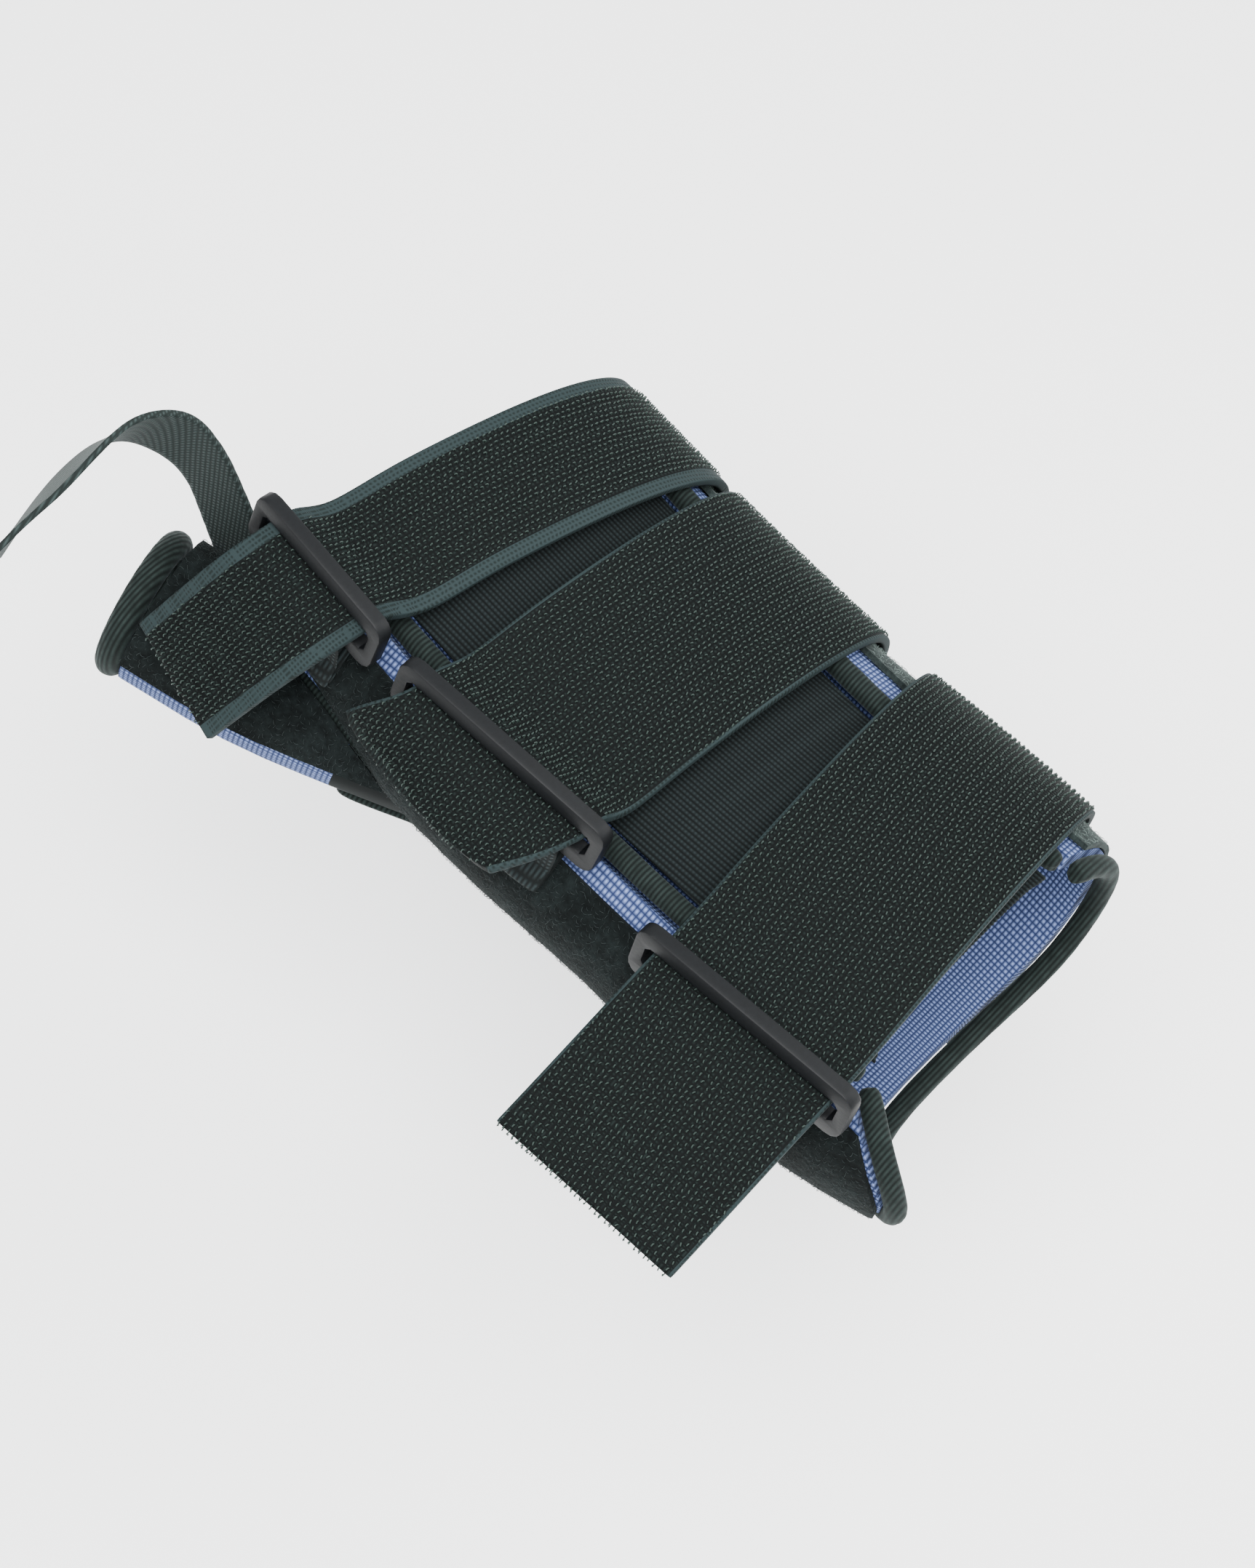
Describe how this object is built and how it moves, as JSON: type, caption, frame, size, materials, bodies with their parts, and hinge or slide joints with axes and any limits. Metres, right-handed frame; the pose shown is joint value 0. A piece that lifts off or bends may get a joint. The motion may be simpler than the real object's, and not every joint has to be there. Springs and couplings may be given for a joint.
{
  "type": "thumb spica splint",
  "caption": "Open-backed wrist and thumb splint for the right hand: a padded gauntlet with a thumb sheath, closed by hook-tape straps through plastic rings.",
  "frame": {"origin": "middle of the wrist inside the hollow, where a wrist holds the splint", "axes": "+Y along the forearm towards the fingers, +Z out of the back of the hand, -X towards the thumb"},
  "size_m": [0.1305, 0.2053, 0.0733],
  "materials": {
    "spacer_mesh": "blue knitted spacer mesh over foam",
    "loop_fabric": "black brushed loop fabric",
    "ribbed_elastic": "dark grey finely ribbed elastic",
    "binding": "soft rolled black edging",
    "ring_plastic": "moulded, satin",
    "webbing": "flat black webbing",
    "hook_tape": "black hook tape, hooks outward",
    "strap_web": "thin laminated strap, dull green-grey outside"
  },
  "bodies": {
    "root": {"shell": "spacer_mesh", "thumb_sheath": "spacer_mesh", "loop_panel_radial": "loop_fabric", "loop_panel_ulnar": "loop_fabric", "thumb_panel": "loop_fabric", "dorsal_panel": "ribbed_elastic", "binding_radial": "binding", "binding_ulnar": "binding", "binding_proximal": "binding", "binding_distal": "binding", "thumb_lip": "binding", "ring_1": "ring_plastic", "ring_2": "ring_plastic", "ring_3": "ring_plastic", "keeper_1": "webbing", "keeper_2": "webbing", "keeper_3": "webbing", "strap_1": "hook_tape", "strap_2": "hook_tape", "strap_3": "hook_tape", "thumb_strap": "strap_web"}
  },
  "joints": []
}
